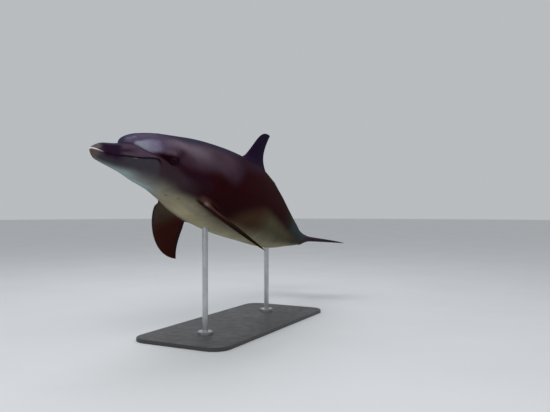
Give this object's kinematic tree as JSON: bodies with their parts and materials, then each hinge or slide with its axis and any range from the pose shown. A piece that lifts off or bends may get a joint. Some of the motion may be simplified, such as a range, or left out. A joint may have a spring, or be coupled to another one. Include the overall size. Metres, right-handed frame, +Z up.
{
  "type": "bottlenose dolphin model",
  "caption": "Life-size bottlenose dolphin in a swimming pose, beak closed and body gently curved, held over a flat display base by short steel rods.",
  "frame": {"origin": "centre of the display base's underside, which rests on the floor", "axes": "+Z up; the dolphin's trunk heads along -X and its left side faces -Y"},
  "size_m": [2.5413, 0.8409, 1.1709],
  "materials": {
    "skin": "smooth wet skin, dark mauve grey, paler below",
    "eye": "wet and glossy, nearly black",
    "stand_base": "satin black paint",
    "stand_steel": "brushed"
  },
  "bodies": {
    "root": {"upper_jaw": "skin", "lower_jaw": "skin", "head": "skin", "thorax": "skin", "abdomen": "skin", "tail_stock": "skin", "dorsal_fin": "skin", "flipper_left": "skin", "flipper_right": "skin", "fluke_left": "skin", "fluke_right": "skin", "eye_left": "eye", "eye_right": "eye", "stand_base": "stand_base", "stand_rod_front": "stand_steel", "stand_rod_rear": "stand_steel", "stand_collar_front": "stand_steel", "stand_collar_rear": "stand_steel"}
  },
  "joints": []
}
